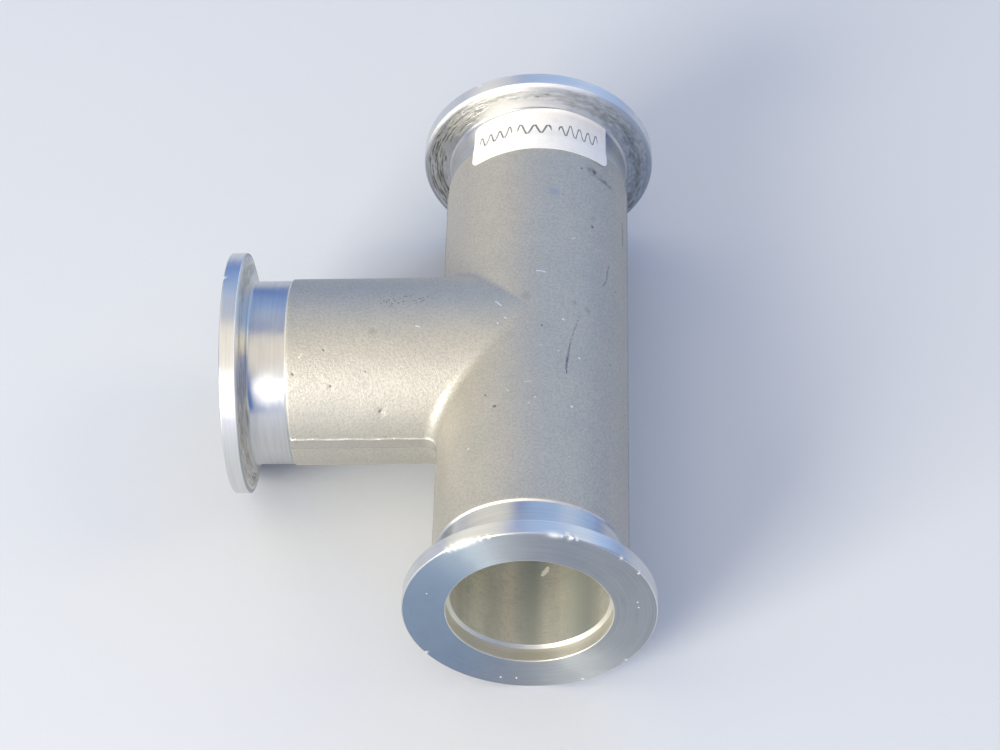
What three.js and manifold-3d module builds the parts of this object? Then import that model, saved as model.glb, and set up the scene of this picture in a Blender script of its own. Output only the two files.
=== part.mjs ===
// A small-flange vacuum tee: one cast body with three open arms, a turned flange piece
// in the end of each arm, and a paper label wrapped over the rear arm.
//
// Millimetres, +Z up. The run lies along Y, the branch points towards -X, and the tee
// rests on its three flange rims. The origin is the middle of the foot of its bounding box.

import * as THREE from 'three';
import { mergeVertices } from 'three/addons/utils/BufferGeometryUtils.js';
import Module from 'manifold-3d';

const wasm = await Module();
wasm.setup();

// ---- driving dimensions ----

const ARM_LENGTH = 50;            // from where the port axes meet to each sealing face
const FACETS = 72;                // sides of every round surface, a multiple of four
const QUARTER_TURN = Math.PI / 2;

const body = {
  radius: 15.5,                   // cast outside of the arms
  boreRadius: 12.5,
  endInset: 10,                   // from a sealing face back to the casting's end
  shoulder: 0.6,                  // length of the turned taper at the casting's end
  socketRadius: 14,               // counterbore that takes a flange piece's spigot
  socketDepth: 5,
  filletRadius: 2.4,              // rolling-ball fillet where the branch meets the run
  filletReach: 86,                // degrees above and below the port plane
  filletSteps: 28,
  filletArcSteps: 5,
  filletRoot: 1,                  // how far the fillet's hidden root goes into the wall
};

const flange = {
  radius: 20,                     // small-flange size 25
  rim: 2.6,                       // thickness at the outer edge
  coneAngle: THREE.MathUtils.degToRad(15),
  neckRadius: 15.25,
  neckFillet: 0.6,
  edgeChamfer: 0.2,
  recessRadius: 13.1,             // takes the centring ring
  recessDepth: 2.4,
  mouthChamfer: 0.15,
  ledge: 0.4,                     // axial length of the taper from recess to bore
  spigotRadius: 13.95,
  spigotChamfer: 0.2,
};

const label = {
  nearEdge: 36.3,                 // along the rear arm, from where the port axes meet
  farEdge: 46,
  spanAngle: THREE.MathUtils.degToRad(94.5),
  leanAngle: THREE.MathUtils.degToRad(4.25),   // from straight up towards +X
  thickness: 0.12,
  airGap: 0.05,
  cornerRadius: 1,
  bridge: 0.3,                    // how far the paper spans past each side of the shoulder
  flareLength: 0.6,               // the last stretch, which climbs the flange's back fillet
  flareRise: 0.12,
};

// ---- materials ----

const castMetal = { color: 0xb3aea3, roughness: 0.62, metalness: 0.85 };
const turnedMetal = { color: 0xc4c8c9, roughness: 0.3, metalness: 1 };
const paper = { color: 0xdfe0de, roughness: 0.8, metalness: 0 };

// ---- solids ----

function toSolid(geometry) {
  geometry.deleteAttribute('normal');
  geometry.deleteAttribute('uv');
  const welded = mergeVertices(geometry);
  return new wasm.Manifold(new wasm.Mesh({
    numProp: 3,
    vertProperties: new Float32Array(welded.attributes.position.array),
    triVerts: new Uint32Array(welded.index.array),
  }));
}

function toGeometry(solid) {
  const { vertProperties, triVerts } = solid.getMesh();
  const geometry = new THREE.BufferGeometry();
  geometry.setAttribute('position', new THREE.BufferAttribute(vertProperties, 3));
  geometry.setIndex(new THREE.BufferAttribute(triVerts, 1));
  geometry.computeVertexNormals();
  return geometry;
}

function makePiece(name, geometry, finish) {
  const piece = new THREE.Mesh(geometry, new THREE.MeshStandardMaterial(finish));
  piece.name = name;
  return piece;
}

// Turns an outline of [radius, height] pairs about Y. The outline runs anticlockwise.
function turned(outline) {
  return new THREE.LatheGeometry(outline.map(([r, y]) => new THREE.Vector2(r, y)), FACETS);
}

function roundBar(radius, from, to) {
  return turned([[0, from], [radius, from], [radius, to], [0, to]]);
}

// Turns a shape made along +Y so that it points along the branch, towards -X.
function alongBranch(geometry) {
  return geometry.rotateZ(QUARTER_TURN);
}

// ---- cast body ----

// The outline of a bar with a turned taper at its outer end.
function armEnd() {
  const end = ARM_LENGTH - body.endInset;
  return [[body.radius, end - body.shoulder], [flange.neckRadius, end], [0, end]];
}

function runOutside() {
  const farHalf = armEnd();
  const nearHalf = farHalf.map(([r, y]) => [r, -y]).reverse();
  return turned([...nearHalf, ...farHalf]);
}

function branchOutside() {
  return alongBranch(turned([[0, 0], [body.radius, 0], ...armEnd()]));
}

// The fillet on one side of the branch. A ball of the fillet's radius rolls in the corner
// between two equal cylinders. At each angle above the port plane this makes one section:
// the ball's arc from the run to the branch, and a root point inside the wall.
function junctionFillet() {
  const { radius, filletRadius, filletSteps, filletArcSteps, filletRoot } = body;
  const reach = THREE.MathUtils.degToRad(body.filletReach);
  const ballPath = radius + filletRadius;
  const rootPath = radius - filletRoot;
  const sectionSize = filletArcSteps + 2;
  const positions = [];
  for (let step = 0; step <= filletSteps; step += 1) {
    const angle = reach * (2 * step / filletSteps - 1);
    const out = Math.cos(angle);
    const up = Math.sin(angle);
    const ball = new THREE.Vector3(-ballPath * out, ballPath * out, ballPath * up);
    const toRun = new THREE.Vector3(out, 0, -up);
    const toBranch = new THREE.Vector3(0, -out, -up);
    const opening = toRun.angleTo(toBranch);
    for (let i = 0; i <= filletArcSteps; i += 1) {
      const share = i / filletArcSteps;
      const direction = toRun.clone().multiplyScalar(Math.sin((1 - share) * opening));
      direction.addScaledVector(toBranch, Math.sin(share * opening));
      positions.push(...ball.clone().addScaledVector(direction.normalize(), filletRadius));
    }
    positions.push(-rootPath * out, rootPath * out, rootPath * up);
  }
  return stripSolid(positions, sectionSize);
}

// Joins a row of equal sections into one closed body: quads between neighbours, and a fan
// of triangles over each end.
function stripSolid(positions, sectionSize) {
  const index = [];
  const last = positions.length / 3 / sectionSize - 1;
  for (let section = 0; section < last; section += 1) {
    for (let i = 0; i < sectionSize; i += 1) {
      const a = section * sectionSize + i;
      const b = section * sectionSize + (i + 1) % sectionSize;
      index.push(a, b, a + sectionSize, b, b + sectionSize, a + sectionSize);
    }
  }
  for (let i = 1; i < sectionSize - 1; i += 1) {
    const end = last * sectionSize;
    index.push(0, i + 1, i);
    index.push(end, end + i, end + i + 1);
  }
  const geometry = new THREE.BufferGeometry();
  geometry.setAttribute('position', new THREE.Float32BufferAttribute(positions, 3));
  geometry.setIndex(index);
  return geometry;
}

function castBody() {
  const end = ARM_LENGTH - body.endInset;
  const beyond = end + 1;
  const socketFloor = end - body.socketDepth;
  let solid = toSolid(runOutside()).add(toSolid(branchOutside()));
  solid = solid.add(toSolid(junctionFillet()));
  solid = solid.add(toSolid(junctionFillet().rotateX(Math.PI)));
  const cuts = [
    roundBar(body.boreRadius, -beyond, beyond),
    alongBranch(roundBar(body.boreRadius, 0, beyond)),
    roundBar(body.socketRadius, socketFloor, beyond),
    roundBar(body.socketRadius, -beyond, -socketFloor),
    alongBranch(roundBar(body.socketRadius, socketFloor, beyond)),
  ];
  for (const cut of cuts) {
    solid = solid.subtract(toSolid(cut));
  }
  return makePiece('tee_body', toGeometry(solid), castMetal);
}

// ---- turned flange pieces ----

// The concave corner between the neck and the 15 degree clamp cone, as [radius, height]
// pairs from the neck out to the cone. Heights are below the sealing face, so negative.
function neckFillet() {
  const { radius, rim, coneAngle, neckRadius, neckFillet: r } = flange;
  const steps = 4;
  const centreRadius = neckRadius + r;
  const drop = (r + (radius - centreRadius) * Math.sin(coneAngle)) / Math.cos(coneAngle);
  const centreHeight = -(rim + drop);
  return Array.from({ length: steps + 1 }, (_, i) => {
    const turn = (QUARTER_TURN - coneAngle) * i / steps;
    return [centreRadius - r * Math.cos(turn), centreHeight + r * Math.sin(turn)];
  });
}

function flangeOutline() {
  const spigotEnd = -(body.endInset + body.socketDepth);
  const { radius, edgeChamfer, recessRadius, mouthChamfer, spigotRadius, spigotChamfer } = flange;
  return [
    [body.boreRadius, spigotEnd],
    [spigotRadius - spigotChamfer, spigotEnd],
    [spigotRadius, spigotEnd + spigotChamfer],
    [spigotRadius, -body.endInset],
    [flange.neckRadius, -body.endInset],
    ...neckFillet(),
    [radius, -flange.rim],
    [radius, -edgeChamfer],
    [radius - edgeChamfer, 0],
    [recessRadius + mouthChamfer, 0],
    [recessRadius, -mouthChamfer],
    [recessRadius, -flange.recessDepth],
    [body.boreRadius, -flange.recessDepth - flange.ledge],
    [body.boreRadius, spigotEnd],
  ];
}

// A flange piece whose sealing face looks along a turned +Y, at the end of its arm.
function flangePiece(name, turn) {
  const piece = makePiece(name, toGeometry(toSolid(turned(flangeOutline()))), turnedMetal);
  piece.position.y = ARM_LENGTH;
  const arm = new THREE.Group();
  arm.rotation.z = turn;
  arm.add(piece);
  return arm;
}

// ---- paper label ----

// A ring of paper that follows the cast arm, the shoulder, the neck and the foot of the
// flange's back fillet. The label is the part of it inside a rounded rectangle.
function labelRing() {
  const { nearEdge, farEdge, airGap, thickness, bridge, flareLength, flareRise } = label;
  const castEnd = ARM_LENGTH - body.endInset;
  const overCast = body.radius + airGap;
  const overNeck = flange.neckRadius + airGap;
  const margin = 1;
  const inside = [
    [overCast, nearEdge - margin],
    [overCast, castEnd - body.shoulder - bridge],
    [overCast, castEnd - body.shoulder],
    [overNeck, castEnd + bridge],
    [overNeck, farEdge - flareLength],
    [overNeck + flareRise, farEdge],
    [overNeck + flareRise, farEdge + margin],
  ];
  const outside = inside.map(([r, y]) => [r + thickness, y]);
  return turned([inside[0], ...outside, ...inside.reverse()]);
}

function labelOutline() {
  const halfWidth = (body.radius + label.airGap) * Math.sin(label.spanAngle / 2);
  const { nearEdge, farEdge, cornerRadius: r } = label;
  const shape = new THREE.Shape();
  shape.absarc(halfWidth - r, farEdge - r, r, 0, QUARTER_TURN);
  shape.absarc(r - halfWidth, farEdge - r, r, QUARTER_TURN, 2 * QUARTER_TURN);
  shape.absarc(r - halfWidth, nearEdge + r, r, 2 * QUARTER_TURN, 3 * QUARTER_TURN);
  shape.absarc(halfWidth - r, nearEdge + r, r, 3 * QUARTER_TURN, 4 * QUARTER_TURN);
  return shape;
}

function paperLabel() {
  const cutter = new THREE.ExtrudeGeometry(labelOutline(), {
    depth: 2 * body.radius,
    bevelEnabled: false,
    curveSegments: 5,
  });
  cutter.rotateY(label.leanAngle);
  const solid = toSolid(labelRing()).intersect(toSolid(cutter));
  return makePiece('label', toGeometry(solid), paper);
}

// ---- the tee ----

const pieces = new THREE.Group();
pieces.add(castBody());
pieces.add(flangePiece('run_flange_rear', 0));
pieces.add(flangePiece('run_flange_front', 2 * QUARTER_TURN));
pieces.add(flangePiece('branch_flange', QUARTER_TURN));
pieces.add(paperLabel());

// The bounding box runs from the branch's sealing face to the run flanges' rims.
pieces.position.set((ARM_LENGTH - flange.radius) / 2, 0, flange.radius);

const tee = new THREE.Group();
tee.add(pieces);
export default tee;
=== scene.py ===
"""The looks of a small-flange vacuum tee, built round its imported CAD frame.

Shapes are worked out in millimetres from where the three port axes cross, then scaled to
metres. Angles round the run are in degrees from +X (90 is the top), and angles round the
branch are in degrees from -Y (90 is the top).
"""

import functools
import math

import bmesh
import bpy
import numpy as np
from mathutils import Matrix, Vector


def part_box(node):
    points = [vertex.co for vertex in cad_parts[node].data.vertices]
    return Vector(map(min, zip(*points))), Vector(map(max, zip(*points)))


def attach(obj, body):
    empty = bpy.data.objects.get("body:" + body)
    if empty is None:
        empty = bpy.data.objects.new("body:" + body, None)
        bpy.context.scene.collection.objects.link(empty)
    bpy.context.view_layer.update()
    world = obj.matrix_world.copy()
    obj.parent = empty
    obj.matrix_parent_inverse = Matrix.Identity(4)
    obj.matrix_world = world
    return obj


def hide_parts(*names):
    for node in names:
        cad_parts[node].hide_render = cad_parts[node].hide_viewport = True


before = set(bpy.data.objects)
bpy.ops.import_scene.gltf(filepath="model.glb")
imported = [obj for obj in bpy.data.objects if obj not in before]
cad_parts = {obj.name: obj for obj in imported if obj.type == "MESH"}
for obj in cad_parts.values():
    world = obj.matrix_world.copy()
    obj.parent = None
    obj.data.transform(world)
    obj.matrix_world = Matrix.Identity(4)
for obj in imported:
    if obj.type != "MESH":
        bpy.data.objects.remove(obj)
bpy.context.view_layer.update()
scene = bpy.context.scene

# ---- sizes, in millimetres ----

MM = 0.001
body_low, body_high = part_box("tee_body")
front_low, front_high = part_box("run_flange_front")
rear_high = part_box("run_flange_rear")[1]
branch_low, branch_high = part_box("branch_flange")
label_low, label_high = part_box("label")

CENTRE = Vector((
    (front_low.x + front_high.x) / 2,
    (branch_low.y + branch_high.y) / 2,
    (front_low.z + front_high.z) / 2,
))
ARM = (rear_high.y - CENTRE.y) / MM
CAST_END = (body_high.y - CENTRE.y) / MM
CAST_RADIUS = (body_high.z - body_low.z) / 2 / MM
FLANGE_RADIUS = (front_high.z - front_low.z) / 2 / MM

BORE_RADIUS = 12.5
SOCKET_RADIUS = 14.0
SOCKET_DEPTH = 5.0  # how far a flange's spigot goes into the casting
SOCKET_FLOOR = CAST_END - SOCKET_DEPTH
NECK_RADIUS = 15.25
SHOULDER = 0.35  # the turned taper at each end of the casting
SKIN_END = CAST_END - SHOULDER
FILLET = 2.4  # rolls between branch and run
SUPPORT = 0.04  # how close a second ring of points sits to keep a corner crisp

PARTING_HALF_WIDTH = 1.0
PARTING_HEIGHT = 0.1
PARTING_BURR = 0.07
PARTING_REACH = 1.32  # half width of the belt of closer points over the parting line

# How many steps of points there are along each part of a section of the body.
BELT_STEPS = 22
ROUND_STEPS = 53
SKIN_STEPS = 72
FILLET_STEPS = 8
BORE_STEPS = 30

# Small dents in the casting: arm, angle, distance along the arm's axis, radius, depth.
# The last is a burr, which stands proud.
DENTS = [
    ("branch", 24, -24.3, 0.45, 0.16),
    ("branch", 48, -38.5, 0.28, 0.10),
    ("branch", 40, -32.4, 0.25, 0.08),
    ("branch", 62, -33.5, 0.35, 0.06),
    ("branch", 74, -25.6, 0.60, 0.05),
    ("run", 110, -20.0, 0.45, 0.12),
    ("run", 117, -17.2, 0.40, 0.06),
    ("run", 50, 21.0, 0.45, 0.08),
    ("run", 29, 10.3, 0.30, 0.08),
    ("run", 91, -16.0, 0.55, 0.05),
    ("run", 230, 12.0, 0.60, 0.10),
    ("run", 300, -24.0, 0.50, 0.08),
    ("branch", 3, -39.2, 0.32, -0.14),
]


# ---- mesh helpers ----

def add_object(name, data):
    """A new object in the scene."""
    added = bpy.data.objects.new(name, data)
    scene.collection.objects.link(added)
    return added


def make_piece(name, points, faces, slots, slot_of_face=None, knocked=None, placing=None):
    """A welded mesh piece from points in millimetres, facing out, with smooth shading.
    knocked is stored with the points: 1 where a knock has left bare bright metal."""
    mesh = bpy.data.meshes.new(name)
    mesh.from_pydata((points * MM).tolist(), [], faces.tolist())
    for material in slots:
        mesh.materials.append(material)
    if slot_of_face is not None:
        mesh.polygons.foreach_set("material_index", np.asarray(slot_of_face, np.int32))
    if knocked is not None:
        layer = mesh.attributes.new("knocked", "FLOAT", "POINT")
        layer.data.foreach_set("value", np.asarray(knocked, np.float32).ravel())
    shape = bmesh.new()
    shape.from_mesh(mesh)
    bmesh.ops.remove_doubles(shape, verts=shape.verts, dist=1e-3 * MM)
    bmesh.ops.recalc_face_normals(shape, faces=shape.faces)
    for face in shape.faces:
        face.smooth = True
    shape.to_mesh(mesh)
    shape.free()
    mesh.set_sharp_from_angle(angle=math.radians(50))
    piece = add_object(name, mesh)
    piece.matrix_world = placing or Matrix.Translation(CENTRE)
    return piece


def grid_faces(rows, columns, first=0, close_rows=False, close_columns=False):
    """Quads over a grid of points numbered row by row, from point number first."""
    row = np.arange(rows if close_rows else rows - 1)[:, None]
    column = np.arange(columns if close_columns else columns - 1)[None, :]
    next_row = (row + 1) % rows
    next_column = (column + 1) % columns
    corners = (row * columns + column, row * columns + next_column,
               next_row * columns + next_column, next_row * columns + column)
    return first + np.stack([c.ravel() for c in corners], axis=1)


def vectors(x, y, z):
    """Points or directions from coordinates, each a grid, a row, a column or a number."""
    return np.stack(np.broadcast_arrays(x, y, z), axis=-1)


def polar(radius, angle):
    """A point in a plane, its angle in degrees."""
    return radius * math.cos(math.radians(angle)), radius * math.sin(math.radians(angle))


def smoothstep(low, high, value):
    """0 up to low, 1 beyond high, eased between, or the other way round if low is higher."""
    share = np.clip((value - low) / (high - low), 0, 1)
    return share * share * (3 - 2 * share)


# ---- cast body ----

def elevations():
    """Angles from straight down to straight up, closer together over the parting line."""
    heights = np.linspace(-PARTING_REACH, PARTING_REACH, BELT_STEPS + 1)
    belt = np.arcsin(heights / CAST_RADIUS)
    above = np.linspace(belt[-1], math.pi / 2, ROUND_STEPS + 1)[1:]
    return np.concatenate([-above[::-1], belt, above])


def on_arm(arm, angle, along):
    """The point at this angle and distance on the outside of the run or the branch."""
    out, up = polar(CAST_RADIUS, angle)
    if arm == "run":
        return np.array([out, along, up])
    return np.array([along, -out, up])


def casting_relief(points):
    """How far the cast skin stands out from its plain cylinders and fillet."""
    x, y, z = points[..., 0], points[..., 1], points[..., 2]
    along = np.maximum(np.abs(x), np.abs(y))
    fade = smoothstep(SKIN_END, SKIN_END - 0.5, along)

    # The mould parting line: a trimmed land that stands proud, with a burr on its top edge.
    wander = 0.05 * np.sin(0.9 * along) + 0.04 * np.sin(2.3 * along + 1.0)
    edge = PARTING_HALF_WIDTH + wander
    land = PARTING_HEIGHT + z * z / (2 * CAST_RADIUS)
    relief = land * smoothstep(edge + 0.16, edge, np.abs(z))
    burr = 0.65 + 0.45 * np.sin(1.7 * along + y) * np.sin(0.6 * along)
    relief += PARTING_BURR * burr * np.exp(-((z - edge + 0.05) / 0.13) ** 2)
    relief += 0.6 * PARTING_BURR * burr * np.exp(-((z + edge - 0.05) / 0.14) ** 2)

    # The slow unevenness of a casting.
    relief += 0.020 * np.sin(0.31 * x + 0.23 * y + 0.9) * np.sin(0.27 * y - 0.38 * z)
    relief += 0.010 * np.sin(0.83 * y + 0.61 * z) * np.sin(0.71 * x + 0.5 * z + 2.0)

    for arm, angle, distance, radius, depth in DENTS:
        away = np.linalg.norm(points - on_arm(arm, angle, distance), axis=-1)
        relief -= depth * np.exp(-(away / radius) ** 2)
    return relief * fade


CAST_SLOT, TURNED_SLOT, RUN_BORE_SLOT, BRANCH_BORE_SLOT = range(4)

# The turned end of an arm, from the cast skin in to the bore: radius, distance.
ARM_END = [
    (CAST_RADIUS, SKIN_END),
    (CAST_RADIUS - 0.02, SKIN_END + SUPPORT),
    (NECK_RADIUS + 0.04, CAST_END - 0.1),
    (NECK_RADIUS, CAST_END - 0.01),
    (NECK_RADIUS - SUPPORT, CAST_END),
    (SOCKET_RADIUS, CAST_END),
    (SOCKET_RADIUS, SOCKET_FLOOR),
    (BORE_RADIUS, SOCKET_FLOOR),
]


def straight(start, end, steps):
    """Distances from start to end. Either may differ from row to row."""
    share = np.linspace(0, 1, steps + 1)[None, :]
    return start + (end - start) * share


def body_side(side, angle):
    """Sections of the body on the branch's side, for one half of the run. Each section is a
    closed loop at one elevation: out along the run, round the fillet, out along the branch,
    and back through both bores."""
    out, up = np.cos(angle)[:, None], np.sin(angle)[:, None]
    ball_path = CAST_RADIUS + FILLET
    reach = ball_path * out
    parts = []

    def add(x, y, z, slot, normal=None):
        points = vectors(x, y, z)
        if normal is not None:
            points = points + normal * casting_relief(points)[..., None]
        parts.append((points, [slot] * points.shape[1]))

    run_normal = vectors(-out, 0, up)
    branch_normal = vectors(0, side * out, up)
    for radius, distance in ARM_END[:0:-1]:
        add(-radius * out, side * distance, radius * up, TURNED_SLOT)
    add(-CAST_RADIUS * out, side * straight(SKIN_END, reach, SKIN_STEPS), CAST_RADIUS * up,
        CAST_SLOT, run_normal)

    # The fillet is where a ball touches as it rolls between the run and the branch.
    share = np.linspace(0, 1, FILLET_STEPS + 1)[None, 1:-1, None]
    opening = np.arccos(np.clip(up * up, -1, 1))[..., None]
    blend = -run_normal * np.sin((1 - share) * opening)
    blend = blend - branch_normal * np.sin(share * opening)
    blend = blend / np.maximum(np.linalg.norm(blend, axis=-1, keepdims=True), 1e-12)
    blend[[0, -1]] = -vectors(0, 0, up)[[0, -1]]
    ball = ball_path * vectors(-out, side * out, up)
    touching = ball + FILLET * blend
    add(touching[..., 0], touching[..., 1], touching[..., 2], CAST_SLOT, -blend)

    add(straight(-reach, -SKIN_END, SKIN_STEPS), side * CAST_RADIUS * out,
        CAST_RADIUS * up, CAST_SLOT, branch_normal)
    for radius, distance in ARM_END[1:-1]:
        add(-distance, side * radius * out, radius * up, TURNED_SLOT)
    crossing = BORE_RADIUS * out
    add(straight(-SOCKET_FLOOR, -crossing, BORE_STEPS), side * crossing,
        BORE_RADIUS * up, BRANCH_BORE_SLOT)
    add(-crossing, side * straight(crossing, SOCKET_FLOOR, BORE_STEPS)[:, 1:-1],
        BORE_RADIUS * up, RUN_BORE_SLOT)
    return join_sections(parts)


def body_back(angle):
    """Sections of the half of the run that faces away from the branch."""
    out, up = np.cos(angle)[:, None], np.sin(angle)[:, None]
    parts = []

    def add(radius, y, slot):
        points = vectors(radius * out, y, radius * up)
        if slot == CAST_SLOT:
            points = points + vectors(out, 0, up) * casting_relief(points)[..., None]
        parts.append((points, [slot] * points.shape[1]))

    for radius, distance in ARM_END[:0:-1]:
        add(radius, distance, TURNED_SLOT)
    add(CAST_RADIUS, straight(SKIN_END, -SKIN_END, 2 * SKIN_STEPS), CAST_SLOT)
    for radius, distance in ARM_END[1:-1]:
        add(radius, -distance, TURNED_SLOT)
    add(BORE_RADIUS, straight(-SOCKET_FLOOR, 0, BORE_STEPS), RUN_BORE_SLOT)
    add(BORE_RADIUS, straight(0, SOCKET_FLOOR, BORE_STEPS)[:, 1:-1], RUN_BORE_SLOT)
    return join_sections(parts)


def join_sections(parts):
    """One grid of points from parts that lie side by side, and each column's slot."""
    points = np.concatenate([p for p, _ in parts], axis=1)
    slots = np.concatenate([s for _, s in parts])
    return points, slots


def build_body(slots):
    """The cast body: its two halves on the branch's side, and its back."""
    angle = elevations()
    points, faces, face_slots = [], [], []
    first = 0
    for sections, column_slots in (body_side(1, angle), body_side(-1, angle), body_back(angle)):
        rows, columns = sections.shape[:2]
        points.append(sections.reshape(-1, 3))
        faces.append(grid_faces(rows, columns, first, close_columns=True))
        face_slots.append(np.tile(column_slots, rows - 1))
        first += rows * columns
    return make_piece("cast_body", np.concatenate(points), np.concatenate(faces), slots,
                      np.concatenate(face_slots))


# ---- turned flange pieces ----

FACE_SLOT, EDGE_SLOT, CONE_SLOT, NECK_SLOT, RECESS_SLOT, BORE_SLOT = range(6)

RIM = 2.6  # thickness at the outer edge
CONE_ANGLE = math.radians(15)
NECK_FILLET = 0.6
EDGE_CHAMFER = 0.2
RECESS_RADIUS = 13.1
RECESS_DEPTH = 2.4
LEDGE = 0.4
NECK_END = ARM - CAST_END
SPIGOT_RADIUS = 13.95
SPIGOT_END = NECK_END + SOCKET_DEPTH
MOUTH_RADIUS = 0.15  # the rounded mouth of the recess
FINE_STEP = 0.3  # between points where knocks and galling shape the metal
COARSE_STEP = 1.6  # and elsewhere
KNOCK_STRETCH = 1.5  # how much longer a knock is across the edge than round it
KNOCK_REACH = 0.6  # and the most that it reaches across the edge
KNOCK_LEAN = 0.4  # how far it leans round the edge for each millimetre across
GALL_INNER, GALL_OUTER = 16.2, 19.8  # the galled part of the clamp cone
GALL_FADE = 0.8

# Knocks on each flange's outer edge: angle from +X, width round the edge, depth. The two
# widest are shallow worn stretches of the front flange, with a row of knocks in each.
FRONT_KNOCKS = [
    (119.0, 2.20, 0.14), (126.4, 0.34, 0.12), (123.4, 0.40, 0.16), (120.2, 0.38, 0.15),
    (117.2, 0.38, 0.13), (113.8, 0.34, 0.09), (110.2, 0.32, 0.07), (106.2, 0.28, 0.05),
    (76.8, 1.20, 0.05), (73.6, 0.26, 0.05), (69.8, 0.44, 0.24), (66.4, 0.24, 0.05),
    (42.8, 0.26, 0.10), (29.6, 0.24, 0.12),
    (-148.2, 0.32, 0.20), (-66.6, 0.22, 0.05), (-41.0, 0.24, 0.09),
]
REAR_KNOCKS = [(61.0, 0.35, 0.10), (150.0, 0.40, 0.12), (-20.0, 0.35, 0.08)]
BRANCH_KNOCKS = [(100.0, 0.35, 0.08), (-55.0, 0.45, 0.12), (205.0, 0.35, 0.08)]


def arc(centre_r, centre_z, radius, start, end, steps):
    """Points on a circle in the (radius, height) plane, angles in radians."""
    return [(centre_r + radius * math.cos(a), centre_z + radius * math.sin(a))
            for a in np.linspace(start, end, steps + 1)]


def neck_fillet():
    """The hollow corner from the neck out to the clamp cone."""
    centre_r = NECK_RADIUS + NECK_FILLET
    drop = NECK_FILLET + (FLANGE_RADIUS - centre_r) * math.sin(CONE_ANGLE)
    centre_z = -(RIM + drop / math.cos(CONE_ANGLE))
    return arc(centre_r, centre_z, NECK_FILLET, math.pi, math.pi / 2 + CONE_ANGLE, 8)


def flange_profile(soft):
    """Runs of (radius, height) with the material slot of each. Height 0 is the sealing face,
    and the runs join into one closed outline, anticlockwise. soft is the radius to which the
    rim's back edge has worn."""
    neck = [(BORE_RADIUS, -SPIGOT_END), (SPIGOT_RADIUS, -SPIGOT_END),
            (SPIGOT_RADIUS, -NECK_END), (NECK_RADIUS - 0.03, -NECK_END),
            (NECK_RADIUS, -NECK_END + 0.03), *neck_fillet()]
    back_height = -RIM - soft * math.tan(CONE_ANGLE) + soft / math.cos(CONE_ANGLE)
    back = arc(FLANGE_RADIUS - soft, back_height, soft, CONE_ANGLE - math.pi / 2, 0, 6)
    turn_in = EDGE_CHAMFER * 0.35
    chamfer = [(FLANGE_RADIUS, -EDGE_CHAMFER),
               (FLANGE_RADIUS - turn_in * 0.5, -EDGE_CHAMFER + turn_in),
               (FLANGE_RADIUS - EDGE_CHAMFER + turn_in, -turn_in * 0.5),
               (FLANGE_RADIUS - EDGE_CHAMFER, 0)]
    mouth = arc(RECESS_RADIUS + MOUTH_RADIUS, -MOUTH_RADIUS, MOUTH_RADIUS,
                math.pi / 2, math.pi, 3)
    ledge = [(RECESS_RADIUS, -RECESS_DEPTH), (RECESS_RADIUS - 0.05, -RECESS_DEPTH - 0.04),
             (BORE_RADIUS + 0.05, -RECESS_DEPTH - LEDGE + 0.06),
             (BORE_RADIUS, -RECESS_DEPTH - LEDGE)]
    return [
        (neck, NECK_SLOT),
        ([neck[-1], *back], CONE_SLOT),
        ([back[-1], *chamfer], EDGE_SLOT),
        ([chamfer[-1], mouth[0]], FACE_SLOT),
        ([*mouth, *ledge], RECESS_SLOT),
        ([ledge[-1], neck[0]], BORE_SLOT),
    ]


def refine(start, end, step):
    """Points from start up to, but without, end: close together at both ends, and no more
    than a step apart between."""
    start, end = np.array(start), np.array(end)
    length = np.linalg.norm(end - start)
    if length < 4 * SUPPORT:
        return [start]
    middle = np.linspace(SUPPORT, length - SUPPORT, max(2, math.ceil(length / step) + 1))
    return [start + (end - start) * d / length for d in [0, *middle]]


def flange_outline(soft):
    """Points round the outline, close together where knocks and galling shape the metal."""
    outline, slots = [], []
    for run, slot in flange_profile(soft):
        step = FINE_STEP if slot in (FACE_SLOT, EDGE_SLOT, CONE_SLOT) else COARSE_STEP
        for start, end in zip(run, run[1:]):
            added = refine(start, end, step)
            outline += added
            slots += [slot] * len(added)
    return np.array(outline), np.array(slots)


def turn_angles(knocks):
    """Angles every three quarters of a degree, and every quarter of a degree at a knock."""
    quarters = set(range(0, 1440, 3))
    for angle, _, _ in knocks:
        quarters.update((round(4 * angle) + step) % 1440 for step in range(-8, 9))
    return np.radians(np.array(sorted(quarters)) / 4)


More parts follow.
